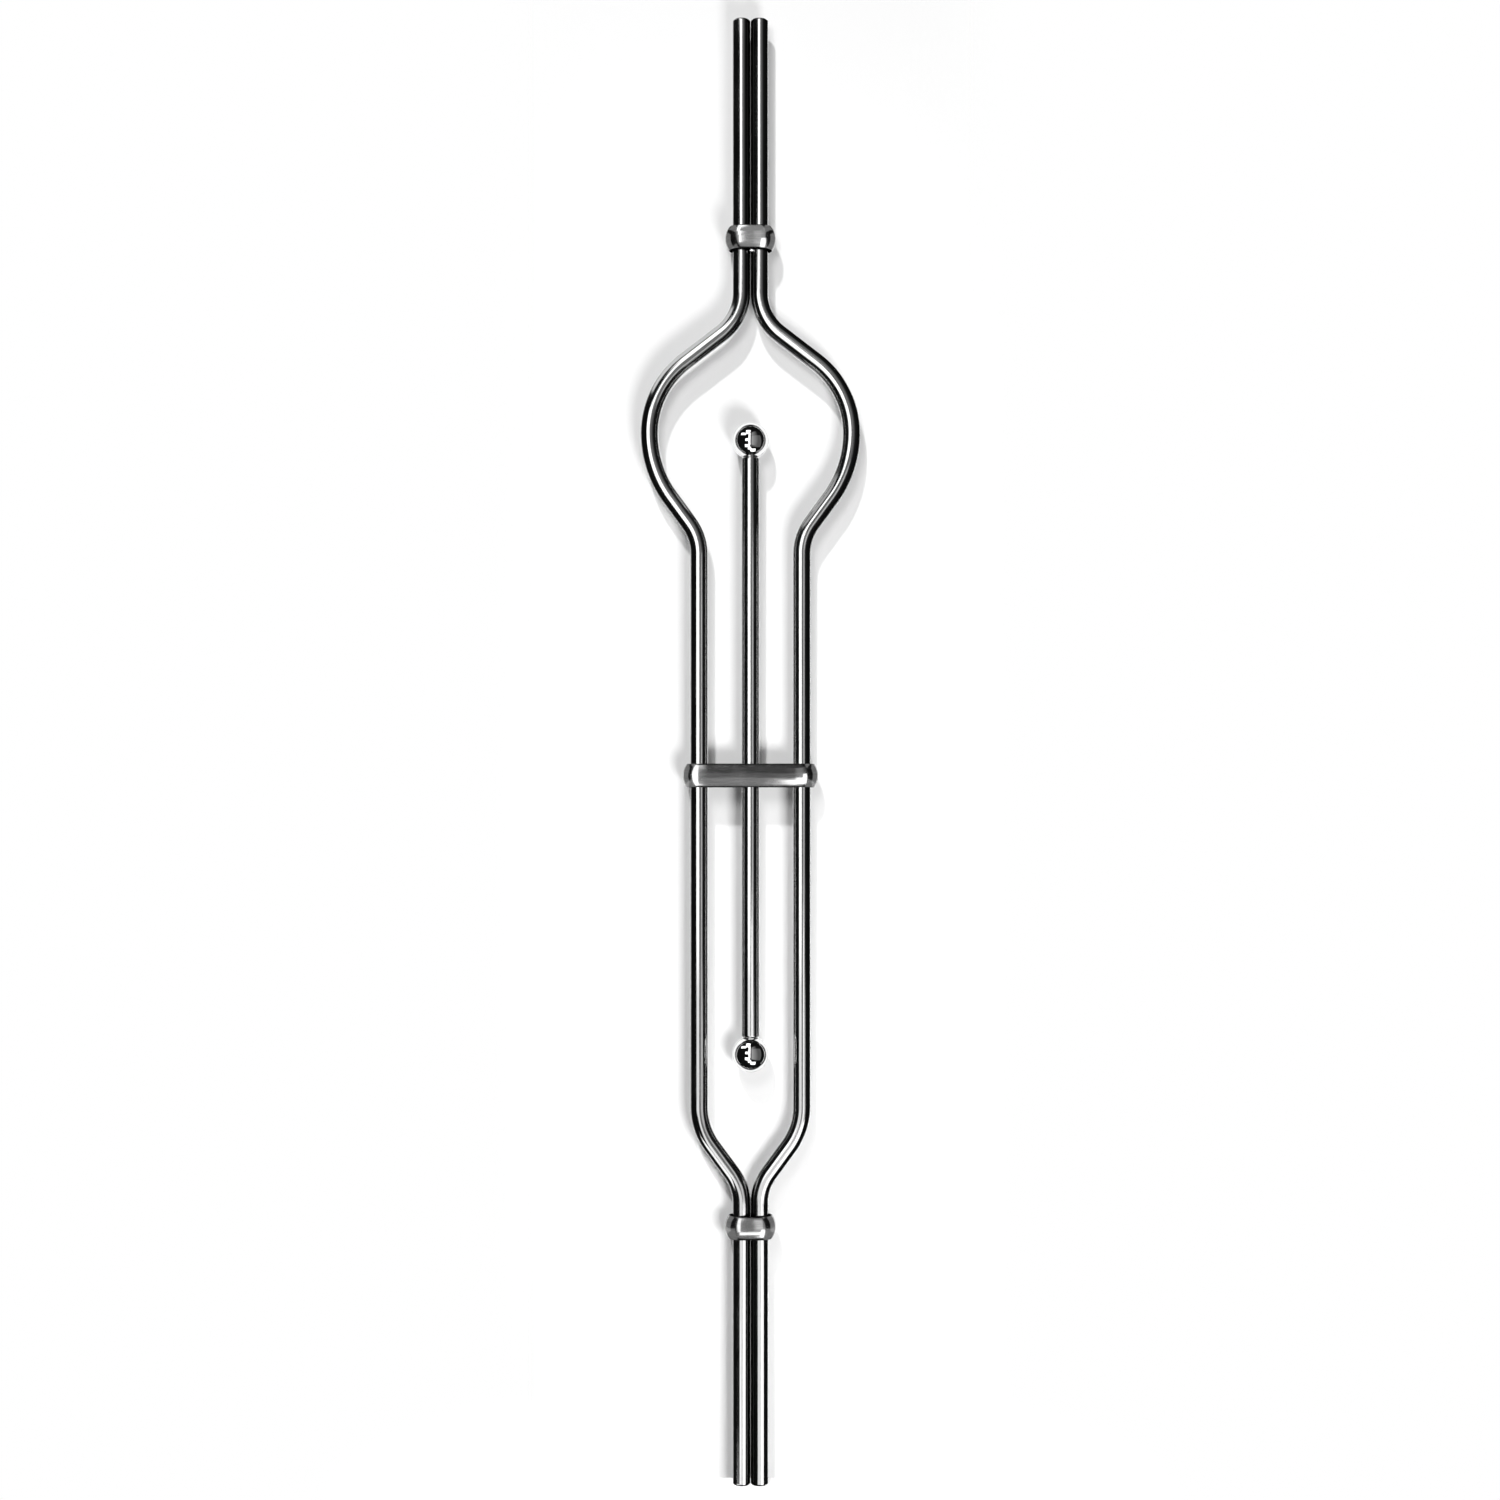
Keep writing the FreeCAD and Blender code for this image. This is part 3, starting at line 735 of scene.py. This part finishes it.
# Weld tack in the groove under the top collar
class BALUSTER_OT_weld_tack(BalusterOperator):
    """Make the small weld in the groove under the top collar"""
    bl_idname = "baluster.weld_tack"
    bl_label = "Weld Tack"

    def execute(self, context):
        strip = context.scene.baluster_collar
        half_size = (0.0019, 0.0014, 0.0012)
        aside, forward, below = 0.0009, 0.0044, 0.0006
        lump = 0.08
        bm = bmesh.new()
        bmesh.ops.create_icosphere(bm, subdivisions=4, radius=1)
        for point in bm.verts:
            point.co *= 1 + lump * math.sin(5 * point.co.x + 2) * math.sin(4 * point.co.z)
        bmesh.ops.scale(bm, verts=bm.verts, vec=half_size)
        place = Vector((aside, -forward, strip.top - strip.height / 2 - below))
        bmesh.ops.translate(bm, verts=bm.verts, vec=place)
        finish_piece("weld_tack", bm, weld_metal())
        return {"FINISHED"}


# Studio
def light_paths(tree, *names):
    """One where a ray of any of the named kinds looks at the surface."""
    rays = add(tree, "ShaderNodeLightPath").outputs
    total = rays[names[0]]
    for name in names[1:]:
        total = maths(tree, "MAXIMUM", total, rays[name])
    return total


def paper_surface(tree, lightness, glow_strength, seen):
    """White paper where it is seen, and nothing elsewhere, so that it hides no light."""
    matt = add(tree, "ShaderNodeBsdfDiffuse", {"Color": (lightness, lightness, lightness, 1)})
    glow = add(tree, "ShaderNodeEmission", {"Color": WHITE, "Strength": glow_strength})
    paper = add(tree, "ShaderNodeAddShader", {0: matt.outputs[0], 1: glow.outputs[0]})
    clear = add(tree, "ShaderNodeBsdfTransparent")
    mix = add(tree, "ShaderNodeMixShader", {0: seen, 1: clear.outputs[0], 2: paper.outputs[0]})
    add(tree, "ShaderNodeOutputMaterial", {"Surface": mix.outputs[0]})


def fade(tree, distance, full, gone):
    """One up to the first distance, and none from the second on."""
    return between(tree, distance, 1, 0, full, gone, smooth=True)


def product(tree, *values):
    """All the values multiplied."""
    total = values[0]
    for value in values[1:]:
        total = maths(tree, "MULTIPLY", total, value)
    return total


def backdrop_paper(studio):
    """The backdrop: seen from its front, and in the steel's outer edges, which mirror it nearly squarely."""
    material, tree = new_material("Backdrop paper")
    parts = split(tree, object_place(tree))
    across = fade(tree, off_middle(tree, parts["X"]), full=0.1, gone=0.18)
    upward = fade(tree, off_middle(tree, parts["Z"], BACKDROP_MIDDLE), full=0.75, gone=1.0)
    front = maths(tree, "SUBTRACT", 1.0, add(tree, "ShaderNodeNewGeometry").outputs["Backfacing"])
    direct = light_paths(tree, "Is Camera Ray", "Is Transmission Ray")
    # The slant is none where a mirrored ray meets the paper squarely, and one where it skims the paper.
    slant = add(tree, "ShaderNodeLayerWeight", {"Blend": 0.5}).outputs["Facing"]
    nearly_square = fade(tree, slant, full=0.12, gone=0.26)
    not_quite = between(tree, slant, 0, 1, start=0.045, end=0.06)
    # Steel that is nearer to the paper than this doesn't mirror it.
    travelled = add(tree, "ShaderNodeLightPath").outputs["Ray Length"]
    far_off = between(tree, travelled, 0, 1, start=0.0095, end=0.0105)
    mirrored = product(tree, light_paths(tree, "Is Glossy Ray"), nearly_square, not_quite, far_off)
    seen = product(tree, front, maths(tree, "MAXIMUM", direct, mirrored), across, upward)
    paper_surface(tree, studio.paper, studio.backdrop_glow, seen)
    return material


def floor_paper(studio):
    """The floor: white round the foot, fading out all round."""
    material, tree = new_material("Floor paper")
    place = object_place(tree)
    reach = add(tree, "ShaderNodeVectorMath", {0: place}, operation="LENGTH").outputs["Value"]
    direct = light_paths(tree, "Is Camera Ray", "Is Transmission Ray")
    seen = product(tree, direct, fade(tree, reach, full=0.1, gone=0.3))
    paper_surface(tree, studio.paper, studio.floor_glow, seen)
    return material


def glow_card(name, brightness, across=None):
    """A surface that only gives light to what mirrors it; it may darken between two places in X."""
    darkest = 0.01
    material, tree = new_material(name)
    if across:
        brightness = between(tree, split(tree, object_place(tree))["X"], brightness, darkest, *across)
    glow = add(tree, "ShaderNodeEmission", {"Color": WHITE, "Strength": brightness})
    add(tree, "ShaderNodeOutputMaterial", {"Surface": glow.outputs[0]})
    return material


def stage_mesh(name, bm, material, only_mirrored=False):
    """A part of the stage; it may be one that only shows in what mirrors it."""
    mesh = bpy.data.meshes.new(name)
    bm.to_mesh(mesh)
    bm.free()
    mesh.materials.append(material)
    item = bpy.data.objects.new(name, mesh)
    bpy.context.scene.collection.objects.link(item)
    if only_mirrored:
        item.visible_camera = False
        item.visible_diffuse = False
        item.visible_shadow = False
        item.visible_transmission = False
    return item


def sheet_mesh(width, depth, matrix):
    """A flat sheet, made level and then put in its place by a matrix."""
    bm = bmesh.new()
    size = Matrix.Diagonal((width, depth, 1, 1))
    bmesh.ops.create_grid(bm, x_segments=1, y_segments=1, size=0.5, matrix=size)
    bmesh.ops.transform(bm, matrix=matrix, verts=bm.verts)
    return bm


def aim(place, target):
    """The turn that points a light or a lens from one place at another."""
    return (Vector(target) - Vector(place)).to_track_quat("-Z", "Y")


def around(azimuth, distance, height):
    """A place round the baluster; azimuth 0 is straight in front and grows to the right."""
    angle = math.radians(azimuth)
    return Vector((distance * math.sin(angle), -distance * math.cos(angle), height))


def area_lamp(name, place, facing, width, height, power):
    """A rectangle of light; the facing is its turn, whose -Z is the way it shines."""
    data = bpy.data.lights.new(name, "AREA")
    data.shape = "RECTANGLE"
    data.size = width
    data.size_y = height
    data.energy = power
    lamp = bpy.data.objects.new(name, data)
    lamp.location = place
    lamp.rotation_euler = facing.to_euler()
    lamp.visible_camera = False
    bpy.context.scene.collection.objects.link(lamp)
    return lamp


def key_lamp(name, place, target, width, height, power):
    """A lamp that lights the paper and draws the shadows on it."""
    area_lamp(name, place, aim(place, target), width, height, power).visible_glossy = False


def steel_light(name, pieces, place, facing, width, height, brightness):
    """A soft light of an even brightness that only the pieces whose names start so mirror."""
    lamp = area_lamp(name, place, facing, width, height, math.pi * width * height * brightness)
    lamp.visible_diffuse = False
    lit = bpy.data.collections.get(pieces) or bpy.data.collections.new(pieces)
    if not lit.objects:
        for item in bpy.data.objects:
            if item.type == "MESH" and item.name.startswith(pieces):
                lit.objects.link(item)
    lamp.light_linking.receiver_collection = lit


def tall_sheet(name, pieces, azimuths, heights, distance, brightness):
    """An upright light between two azimuths and two heights."""
    left, right = azimuths
    low, high = heights
    height = (low + high) / 2
    place = around((left + right) / 2, distance, height)
    width = 2 * distance * math.tan(math.radians(right - left) / 2)
    steel_light(name, pieces, place, aim(place, (0, 0, height)), width, high - low, brightness)


def glint(piece, spot, normal_at, patch, brightness, distance=FAR):
    """A light placed where the camera sees it mirrored in one patch of a piece.

    A patch has a left, right, low and high side; normal_at gives the surface's normal at a place in it.
    """
    left, right, low, high = patch
    x, y = (left + right) / 2, (low + high) / 2
    sight = (bpy.context.scene.camera.location - spot).normalized()

    def mirrored(across, upward):
        normal = normal_at(across, upward)
        return normal * (2 * normal.dot(sight)) - sight

    way = mirrored(x, y)
    across = mirrored(right, y) - mirrored(left, y)
    upward = mirrored(x, high) - mirrored(x, low)
    across -= way * across.dot(way)
    across.normalize()
    facing = Matrix((across, way.cross(across), way)).transposed().to_quaternion()
    width = 2 * distance * math.tan(mirrored(left, y).angle(mirrored(right, y)) / 2)
    height = 2 * distance * math.tan(mirrored(x, low).angle(mirrored(x, high)) / 2)
    steel_light(f"{piece}_glint", piece, spot + way * distance, facing, width, height, brightness)


def ball_glint(piece, middle, radius, patch, brightness):
    """A glint that fills a rectangle of the ball's picture, given in radii from its middle."""
    sight = (bpy.context.scene.camera.location - middle).normalized()
    rise = RIGHT.cross(-sight).normalized()

    def normal_at(x, y):
        return RIGHT * x + rise * y + sight * math.sqrt(1 - x * x - y * y)

    left, right, low, high = patch
    spot = middle + normal_at((left + right) / 2, (low + high) / 2) * radius
    glint(piece, spot, normal_at, patch, brightness)


def collar_glint(piece, strip, height, across, patch, brightness, distance):
    """A glint on a collar's front at a place across, in a patch of turns and tilts given in degrees."""

    def normal_at(turn, tilt):
        turn, tilt = math.radians(turn), math.radians(tilt)
        return Vector((math.sin(turn) * math.cos(tilt), -math.cos(turn) * math.cos(tilt), math.sin(tilt)))

    tilt = math.radians(patch[2] + patch[3]) / 2
    spot = Vector((across, -strip.reach - strip.crown, height + crown_radius(strip) * math.sin(tilt)))
    glint(piece, spot, normal_at, patch, brightness, distance)


# Upright lights that the bars mirror: name, pieces, azimuths, heights, distance, and a share of the left or
# right light's brightness
BAR_SHEETS = (
    ("bar_light_high", "bar", (-19, 7), (1.12, 1.8), 1.2, "left", 1),
    ("bar_shoulder_light", "bar_left", (-34, -12), (1.5, 2.4), 1.2, "left", 1),
    ("bar_light_left", "bar_left", (-37, -1), (0.27, 1.12), 1.2, "left", 1),
    ("bar_light_centre", "bar_centre", (-34, -1), (0.27, 1.12), 1.2, "left", 1),
    ("bar_light_right", "bar_right", (-34, -1), (0.27, 1.12), 1.2, "left", 1),
    ("bar_centre_side_light", "bar_centre", (8, 28), (-0.1, 0.36), 0.65, "right", 0.6),
    ("bar_right_side_light", "bar_right", (17, 33), (0.07, 0.36), 0.65, "right", 0.4),
    ("bar_light_middle", "bar", (-35, -1), (0.03, 0.27), 1.2, "left", 0.55),
    ("bar_light_low", "bar", (-22, 13), (-0.55, 0.03), 1.2, "left", 0.56),
    ("bar_left_limb_light", "bar_left", (-64, -24), (-0.95, -0.41), 1.2, "left", 0.8),
    ("bar_left_foot_light", "bar_left", (-26, -8), (-0.43, -0.15), 1.2, "left", 0.25),
    ("bar_side_light", "bar", (18, 55), (-0.35, 0.07), 0.65, "right", 1),
    ("bar_side_light_upper", "bar", (22, 48), (0.07, 0.28), 0.65, "right", 0.3),
    ("bar_side_light_high", "bar", (24, 37), (0.28, 0.72), 0.65, "right", 0.3),
    ("bar_rim_light", "bar", (-165, -128), (-0.8, 1.9), 1.3, "left", 0.15),
    ("bar_back_light", "bar", (138, 152), (-0.4, 1.5), 1.3, "left", 0.6),
    ("bar_back_streak", "bar", (167, 191), (-0.8, 1.9), 1.3, "left", 1),
)
# The same for the collars and for the weld
COLLAR_SHEETS = (
    ("collar_rim_left", "collar", (-160, -84), (-0.4, 1.5), 1.3, "left", 0.12),
    ("collar_rim_right", "collar", (84, 160), (-0.4, 1.5), 1.3, "left", 0.12),
    ("collar_high_left", "collar", (-140, -50), (1.9, 3.4), 1.3, "left", 0.12),
    ("collar_low_left", "collar", (-140, -50), (-2.5, -0.05), 1.3, "left", 0.12),
    ("collar_high_right", "collar", (50, 140), (1.9, 3.4), 1.3, "left", 0.12),
    ("collar_low_right", "collar", (50, 140), (-2.5, -0.05), 1.3, "left", 0.12),
    ("collar_back_light", "collar", (161, 199), (-0.8, 1.9), 1.3, "left", 0.1),
    ("collar_back_streak", "collar", (165, 186), (0.9, 1.2), 1.25, "left", 0.6),
    ("weld_light", "weld", (-60, 60), (-0.6, 1.2), 0.5, "left", 1),
)
# Level lights above the bent bars: name, piece, place, width, depth and share of the left light's brightness
OVERHEAD_LIGHTS = (
    ("bar_overhead_light", "bar_left", Vector((-1.7, 0.5, 2.6)), 2.2, 2.8, 0.4),
    ("bar_overhead_light_right", "bar_right", Vector((-2.0, -0.3, 2.6)), 1.6, 4.2, 0.25),
)
# Glints on the fronts of the collars: collar, place across, patch in degrees (turned from left to right, and
# tilted from low to high), distance, and a share of the left or right light's brightness
COLLAR_GLINTS = (
    ("top", -0.0085, (-20, -7.5, 12, 34), FAR, "left", 1),
    ("top", -0.0085, (-16, -6, 0, 12), FAR, "left", 1),
    ("top", -0.0085, (-13, -6, -20, 0), FAR, "left", 1),
    ("top", 0.0085, (9, 27, -36, -9), FAR, "right", 1),
    ("top", 0, (-22, 24, -34, 34), FAR, "left", 0.18),
    ("middle", -0.037, (-26, -6, -34, 34), FAR, "left", 1),
    ("middle", 0.026, (-3, 1.5, -28, -8), NEAR, "right", 0.1),
    ("middle", 0.033, (-3, 3, -30, -13), NEAR, "right", 0.75),
    ("middle", 0.036, (1, 9, -26, -6), NEAR, "right", 1),
    ("middle", 0.038, (6, 20, -26, 5), FAR, "right", 1),
    ("middle", 0, (-8, 8, -34, -7), FAR, "left", 0.13),
    ("middle", 0, (-8, 8, -7, 7), FAR, "left", 0.065),
    ("middle", 0, (-8, 8, 7, 34), FAR, "left", 0.025),
    ("bottom", -0.0085, (-19, -8, -8, 34), FAR, "left", 0.8),
    ("bottom", 0.0015, (-12, 10, -17, -8), FAR, "left", 0.85),
    ("bottom", 0.0085, (8.5, 22, -26, 0), FAR, "right", 1),
    ("bottom", 0.0085, (4, 16, 0, 28), FAR, "right", 0.2),
    ("bottom", 0, (-22, 24, -30, 34), FAR, "left", 0.12),
)
# Patches in the picture of each ball, in radii from its middle: left, right, low and high. The first is grey,
# with a share of the right light's brightness, and the others are as bright as the left light.
BALL_GREY_PATCH = (0.04, 0.6, -0.34, 0.3)
BALL_GREY_SHARE = 0.045
BALL_GLINTS = (
    (-0.50, -0.24, 0.32, 0.43),
    (-0.24, -0.01, 0.38, 0.58),
    (-0.11, -0.01, -0.22, 0.42),
    (-0.28, -0.10, 0.00, 0.13),
    (-0.30, -0.04, -0.33, -0.18),
    (-0.14, 0.03, -0.46, -0.32),
    (0.00, 0.27, -0.57, -0.42),
)
# A square light behind each ball that brightens its rim: its place from the ball, its side, and its share of
# the left light's brightness
RIM_PLACE = Vector((0, 0.14, 0))
RIM_SIDE = 0.76
RIM_SHARE = 0.5
# Lamps that light the paper: setting with the power, place, target, width and height
KEY_LAMPS = (
    ("sun_key", (-1.1, -3, 4.2), (0, 0, 0.5), 0.25, 0.25),
    ("soft_key", around(-12, 1.1, 1.05), (0, 0, 1.05), 0.4, 0.4),
    ("low_key", (0.36, -0.75, 0.03), (0, 0, 0.6), 0.36, 0.3),
)


class BALUSTER_OT_studio(BalusterOperator):
    """Make the floor, the backdrop, the soft lights and the surroundings that the steel mirrors"""
    bl_idname = "baluster.studio"
    bl_label = "Studio"

    def execute(self, context):
        studio = context.scene.baluster_studio
        self.make_surroundings(studio)
        for name, place, target, width, height in KEY_LAMPS:
            key_lamp(name, place, target, width, height, getattr(studio, name))
        self.light_bars(studio)
        self.light_balls(studio, context.scene.baluster_ball)
        self.light_collars(studio, context.scene.baluster_collar)
        self.make_world(context.scene, studio)
        context.scene.view_settings.view_transform = "Standard"
        return {"FINISHED"}

    def make_surroundings(self, studio):
        level = Matrix.Identity(4)
        stand = Matrix.Rotation(math.pi / 2, 4, "X")
        upright = Matrix.Translation((0, studio.backdrop_gap, BACKDROP_MIDDLE)) @ stand
        stage_mesh("backdrop", sheet_mesh(width=1.2, depth=2.2, matrix=upright), backdrop_paper(studio))
        stage_mesh("floor", sheet_mesh(width=0.8, depth=0.8, matrix=level), floor_paper(studio))
        room = bmesh.new()
        bmesh.ops.create_icosphere(room, subdivisions=4, radius=4)
        bmesh.ops.reverse_faces(room, faces=room.faces)
        dark = glow_card("Dark surround", studio.dark_light)
        stage_mesh("dark_surround", room, dark, only_mirrored=True)
        azimuth = 40
        card = Matrix.Translation(around(azimuth, distance=2.2, height=1.4))
        card = card @ Matrix.Rotation(math.radians(azimuth), 4, "Z") @ stand
        grey = glow_card("Grey card", studio.grey_light, across=(0.5, 1.7))
        stage_mesh("grey_card", sheet_mesh(width=2.9, depth=4.6, matrix=card), grey, only_mirrored=True)

    def make_world(self, scene, studio):
        world = bpy.data.worlds.new("White studio")
        scene.world = world
        world.use_nodes = True
        tree = world.node_tree
        tree.nodes.clear()
        seen = light_paths(tree, "Is Camera Ray", "Is Glossy Ray", "Is Transmission Ray")
        level = between(tree, seen, studio.fill, 1.0)
        light = add(tree, "ShaderNodeBackground", {"Color": WHITE, "Strength": level})
        add(tree, "ShaderNodeOutputWorld", {"Surface": light.outputs[0]})

    def light_sheets(self, studio, sheets):
        for name, pieces, azimuths, heights, distance, light, share in sheets:
            brightness = getattr(studio, f"{light}_light") * share
            tall_sheet(name, pieces, azimuths, heights, distance, brightness)

    def light_bars(self, studio):
        self.light_sheets(studio, BAR_SHEETS)
        for name, piece, place, width, depth, share in OVERHEAD_LIGHTS:
            steel_light(name, piece, place, aim(place, place - UP), width, depth, studio.left_light * share)

    def light_balls(self, studio, ball):
        for piece, height in (("ball_top", ball.top_height), ("ball_bottom", ball.bottom_height)):
            middle = UP * height
            for patch in BALL_GLINTS:
                ball_glint(piece, middle, ball.radius, patch, studio.left_light)
            ball_glint(piece, middle, ball.radius, BALL_GREY_PATCH, studio.right_light * BALL_GREY_SHARE)
            place = middle + RIM_PLACE
            brightness = studio.left_light * RIM_SHARE
            steel_light(f"{piece}_rim", piece, place, aim(place, middle), RIM_SIDE, RIM_SIDE, brightness)

    def light_collars(self, studio, strip):
        for where, across, patch, distance, light, share in COLLAR_GLINTS:
            brightness = getattr(studio, f"{light}_light") * share
            collar_glint(f"collar_{where}", strip, getattr(strip, where), across, patch, brightness, distance)
        self.light_sheets(studio, COLLAR_SHEETS)


class BALUSTER_OT_camera(BalusterOperator):
    """Place the camera square in front of the baluster, a little below its middle"""
    bl_idname = "baluster.camera"
    bl_label = "Camera"

    def execute(self, context):
        studio = context.scene.baluster_studio
        data = bpy.data.cameras.new("Front camera")
        data.sensor_width = 36
        data.lens = data.sensor_width * studio.camera_distance / studio.frame_width
        data.shift_y = (studio.frame_middle - studio.camera_height) / studio.frame_width
        data.clip_end = 50
        camera = bpy.data.objects.new("Front camera", data)
        camera.location = (studio.camera_side, -studio.camera_distance, studio.camera_height)
        camera.rotation_euler = (math.pi / 2, 0, 0)
        context.scene.collection.objects.link(camera)
        context.scene.camera = camera
        return {"FINISHED"}


OPERATORS = (
    BALUSTER_OT_camera,
    BALUSTER_OT_bent_bars,
    BALUSTER_OT_centre_bar,
    BALUSTER_OT_balls,
    BALUSTER_OT_collars,
    BALUSTER_OT_weld_tack,
    BALUSTER_OT_studio,
)


class BALUSTER_PT_panel(bpy.types.Panel):
    bl_idname = "BALUSTER_PT_panel"
    bl_label = "Stair Baluster"
    bl_space_type = "VIEW_3D"
    bl_region_type = "UI"
    bl_category = "Baluster"

    def draw(self, context):
        layout = self.layout
        for operator in OPERATORS:
            layout.operator(operator.bl_idname)
        for name, group in GROUPS.items():
            box = layout.box()
            settings = getattr(context.scene, name)
            for field in group.__annotations__:
                box.prop(settings, field)


CLASSES = (*GROUPS.values(), *OPERATORS, BALUSTER_PT_panel)


def register():
    for cls in CLASSES:
        bpy.utils.register_class(cls)
    for name, group in GROUPS.items():
        setattr(bpy.types.Scene, name, bpy.props.PointerProperty(type=group))


def unregister():
    for name in GROUPS:
        delattr(bpy.types.Scene, name)
    for cls in reversed(CLASSES):
        bpy.utils.unregister_class(cls)


def main():
    register()
    bpy.ops.baluster.camera()
    bpy.ops.baluster.bent_bars()
    bpy.ops.baluster.centre_bar()
    bpy.ops.baluster.balls()
    bpy.ops.baluster.collars()
    bpy.ops.baluster.weld_tack()
    bpy.ops.baluster.studio()


if __name__ == "__main__":
    main()
